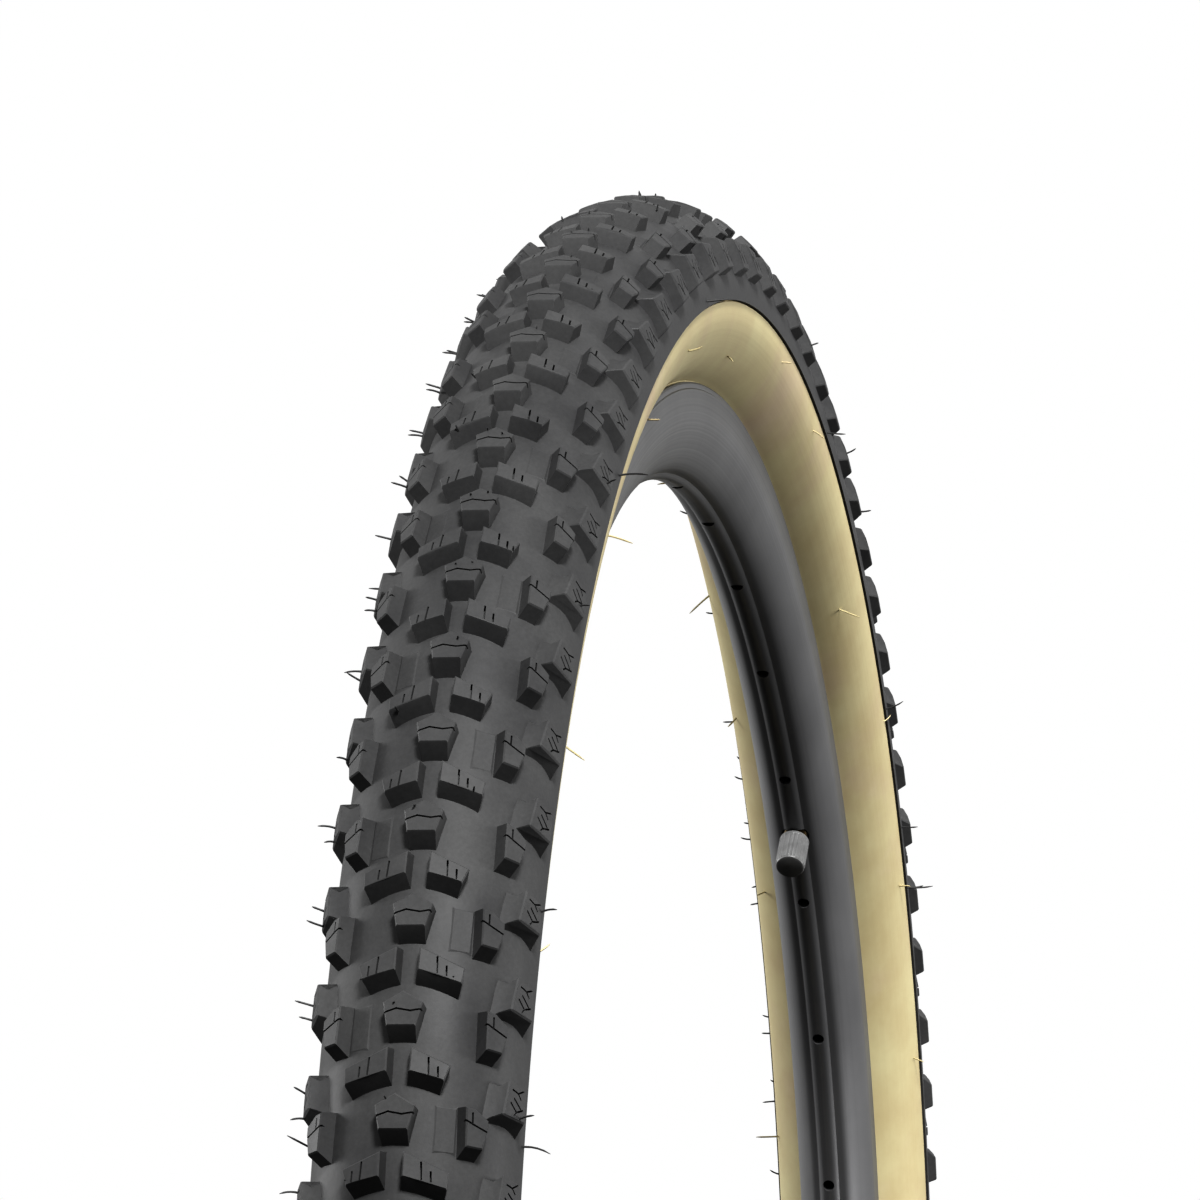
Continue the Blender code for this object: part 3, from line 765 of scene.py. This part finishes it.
# ---------------------------------------------------------------- vent hairs
def add_hair(verts, faces, root, direction, sideways, length, thickness):
    """One thin moulding hair: a bent tapering tube with closed ends."""
    sides = 5
    steps = 5
    along = direction.normalized()
    across = along.cross(Vector((0.3, 0.9, 0.2))).normalized()
    start = len(verts)
    for i in range(steps + 1):
        share = i / steps
        middle = root + along * length * share + sideways * length * share * share
        radius = thickness * (1.25 - 0.25 * min(1.0, share * 3)) * (0.35 if i == steps else 1.0)
        second = along.cross(across)
        for j in range(sides):
            turn = FULL_TURN * j / sides
            verts.append(middle + (across * math.cos(turn) + second * math.sin(turn)) * radius)
    for i in range(steps):
        for j in range(sides):
            k = (j + 1) % sides
            first = start + i * sides
            faces.append((first + j, first + k, first + sides + k, first + sides + j))
    faces.append(tuple(start + j for j in reversed(range(sides))))
    faces.append(tuple(start + steps * sides + j for j in range(sides)))


def hair_root(side, slant, section, angle):
    """A point of the section and the direction straight out of it."""
    level = math.radians(slant)
    root = around_axle(-side * section * math.sin(level), SECTION_CENTRE + section * math.cos(level), angle)
    tip = section + 1 * MM
    away = around_axle(-side * tip * math.sin(level), SECTION_CENTRE + tip * math.cos(level), angle) - root
    return root, away.normalized()


def wander(draw, size):
    return Vector([draw.uniform(-size, size) for _ in range(3)])


def hair_chance(side, slant, usual):
    """Fewer hairs stand on the right shoulder knobs and on the left edge of the band."""
    if slant > 80 and side < 0:
        return 0.06
    if 60 < slant < 80 and side > 0:
        return 0.15
    return usual


def make_tread_hairs(surface):
    """Short hairs on the shoulder and middle knobs, and a few long ones off the band's edge.

    Each spot is: degrees from the crown, section radius (mm), place along the tread (mm), usual
    chance of a hair, and its least and greatest length (mm).
    """
    draw = random.Random(TREAD_HAIR_SEED)
    spots = ((70, 28.2, 13.0, 0.9, 3.0, 5.0), (66, 28.2, 7.5, 0.8, 2.5, 4.5),
             (86, 24.2, 2.0, 0.28, 6.0, 9.5), (4, 29.3, 5.0, 0.5, 1.0, 2.2), (22, 28.7, 11.0, 0.35, 1.0, 2.2))
    verts, faces = [], []
    for i in range(PITCHES):
        for side in (1, -1):
            back = Vector((math.sin(i * PITCH), 0, -math.cos(i * PITCH)))
            for slant, section, along, chance, shortest, longest in spots:
                if draw.random() > hair_chance(side, slant, chance):
                    continue
                angle = i * PITCH - (along + draw.uniform(-1.0, 1.0)) / RUN_RADIUS
                root, away = hair_root(side, slant, section * MM, angle)
                way = away + back * draw.uniform(-0.1, 0.45) + wander(draw, 0.15)
                add_hair(verts, faces, root - away * 0.6 * MM, way, back * draw.uniform(-0.4, 0.1),
                         draw.uniform(shortest, longest) * MM, TREAD_HAIR_RADIUS * MM)
    hairs = mesh_object("tread_vent_hairs", verts, faces, HAIR_SMOOTH_ANGLE)
    hairs.data.materials.append(surface)
    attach(hairs, "wheel")


def make_wall_hairs(surface):
    draw = random.Random(WALL_HAIR_SEED)
    verts, faces = [], []
    for i in range(PITCHES // WALL_HAIR_SPACING):
        for side in (1, -1):
            angle = (i + draw.uniform(-0.2, 0.2)) * PITCH * WALL_HAIR_SPACING + side * 0.013
            slant = draw.choice((95, 104, 112, 120, 128))
            root, away = hair_root(side, slant, SKIN_RADIUS, angle)
            add_hair(verts, faces, root - away * 0.4 * MM, away + wander(draw, 0.5), wander(draw, 0.25),
                     draw.uniform(3.0, 7.0) * MM, WALL_HAIR_RADIUS * MM)
    hairs = mesh_object("wall_vent_hairs", verts, faces, HAIR_SMOOTH_ANGLE)
    hairs.data.materials.append(surface)
    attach(hairs, "wheel")


# ---------------------------------------------------------------- carried-over CAD pieces
def dress(surfaces):
    """Give each CAD node that still shows its detailed material."""
    for name, surface in surfaces.items():
        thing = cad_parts[name]
        if not thing.material_slots:
            thing.data.materials.append(surface)
        for slot in thing.material_slots:
            slot.material = surface


# ---------------------------------------------------------------- stage
def make_floor():
    size = 9.0
    low = CAD_BOX[0].z
    verts = [(-size, -size, low), (size, -size, low), (size, size, low), (-size, size, low)]
    floor = mesh_object("floor", verts, [(0, 1, 2, 3)])
    made, tree, shader = new_material("floor_looks", 0.9, specular=0.1)
    cloud = noise(tree, place(tree), 2.0, 2.0)
    shade = ramp(tree, cloud, [(0.3, (0.86, 0.86, 0.86)), (0.7, (0.88, 0.88, 0.88))])
    link(tree, shade, shader.inputs["Base Color"])
    floor.data.materials.append(made)
    floor.visible_diffuse = False
    floor.visible_glossy = False


def make_world():
    """A white backdrop for the camera; for the object, soft light from above and behind."""
    world = bpy.data.worlds.new("studio")
    bpy.context.scene.world = world
    world.use_nodes = True
    tree = world.node_tree
    tree.nodes.clear()
    split = node(tree, "ShaderNodeSeparateXYZ")
    link(tree, node(tree, "ShaderNodeTexCoord").outputs["Generated"], split.inputs[0])
    tilted = calc(tree, "ADD", calc(tree, "MULTIPLY", split.outputs["Z"], 0.47),
                  calc(tree, "MULTIPLY", split.outputs["X"], 0.18))
    dome = ramp(tree, calc(tree, "ADD", tilted, 0.5), [
        (0.0, (0.03, 0.03, 0.03)), (0.4, (0.07, 0.07, 0.07)), (0.52, (0.5, 0.5, 0.5)),
        (0.64, (0.95, 0.95, 0.95)), (1.0, (1.0, 1.0, 1.0))])
    lit = node(tree, "ShaderNodeBackground")
    lit.inputs["Strength"].default_value = 1.0
    link(tree, dome, lit.inputs["Color"])
    seen = node(tree, "ShaderNodeBackground")
    seen.inputs["Color"].default_value = (1, 1, 1, 1)
    seen.inputs["Strength"].default_value = 1.0
    choice = node(tree, "ShaderNodeMixShader")
    link(tree, node(tree, "ShaderNodeLightPath").outputs["Is Camera Ray"], choice.inputs[0])
    link(tree, lit.outputs[0], choice.inputs[1])
    link(tree, seen.outputs[0], choice.inputs[2])
    link(tree, choice.outputs[0], node(tree, "ShaderNodeOutputWorld").inputs["Surface"])


def make_light(name, where, aim, size, power):
    data = bpy.data.lights.new(name, "AREA")
    data.shape = "DISK"
    data.size = size
    data.energy = power
    lamp = new_object(name, data)
    lamp.location = where
    lamp.rotation_euler = (Vector(aim) - Vector(where)).to_track_quat("-Z", "Y").to_euler()


def make_camera():
    data = bpy.data.cameras.new("camera")
    data.sensor_width = SENSOR_WIDTH
    data.lens = CAMERA_LENS
    data.clip_start = 0.05
    data.clip_end = 60.0
    camera = new_object("camera", data)
    right = Vector(CAMERA_RIGHT)
    up = Vector(CAMERA_UP)
    back = right.cross(up).normalized()
    up = back.cross(right).normalized()
    turn = Matrix((right.normalized(), up, back)).transposed().to_4x4()
    camera.matrix_world = Matrix.Translation(CAMERA_PLACE) @ turn
    bpy.context.scene.camera = camera


def set_colours():
    view = bpy.context.scene.view_settings
    view.view_transform = "Standard"
    view.look = "None"
    view.exposure = 0.0
    view.gamma = 0.67


def main():
    rubber = tread_rubber()
    tan = tan_rubber()
    alloy = anodised()
    brass = turned_metal("brass_looks", (0.45, 0.3, 0.12), (0.62, 0.44, 0.2), 0.3)
    stem = stem_metal_painted_shade("stem_looks", (0.45, 0.3, 0.12), (0.62, 0.44, 0.2), 0.3, CAP_MOUTH - 0.7 * MM)
    steel = turned_metal("steel_looks", (0.42, 0.42, 0.42), (0.6, 0.6, 0.6), 0.3)
    bare = turned_metal("bare_alloy_looks", (0.55, 0.55, 0.56), (0.72, 0.72, 0.73), 0.35)
    butyl = grained("butyl_looks", (0.018, 0.018, 0.019), (0.032, 0.032, 0.033), 0.55, 60.0, 900.0)
    seal = grained("seal_looks", (0.02, 0.02, 0.02), (0.035, 0.035, 0.035), 0.6, 400.0, 2500.0)
    tape = grained("tape_looks", (0.5, 0.1, 0.06), (0.62, 0.15, 0.08), 0.45, 90.0, 1200.0)
    plastic = grained("cap_looks", (0.12, 0.12, 0.12), (0.17, 0.17, 0.17), 0.42, 260.0, 2200.0)
    make_tread(rubber)
    make_casing(casing_cloth())
    make_sidewall("sidewall_skin_left", "sidewall_left", 1, tan)
    make_sidewall("sidewall_skin_right", "sidewall_right", -1, tan)
    make_bead("bead_hoop_left", "bead_left", 1, steel)
    make_bead("bead_hoop_right", "bead_right", -1, steel)
    make_rim(alloy)
    make_stem(stem)
    make_cap(plastic)
    make_tread_hairs(rubber)
    make_wall_hairs(tan)
    dress({
        "rim_tape": tape, "rim_joint_sleeve": bare, "inner_tube": butyl, "valve_patch": butyl,
        "core_plug": brass, "core_barrel": brass, "core_gasket": seal, "core_pin": brass, "core_seal": seal,
        "core_spring": steel, "cap_seal": seal,
    })
    make_floor()
    make_world()
    make_light("key", (-4.6, -2.0, 5.2), (0, 0, 0), 1.6, 900.0)
    make_light("left_fill", (0.5, 4.5, 0.9), (0, 0, 0), 2.0, 190.0)
    make_light("right_fill", (0.8, -5.2, 0.0), (0, 0, 0), 2.0, 240.0)
    make_camera()
    set_colours()


main()
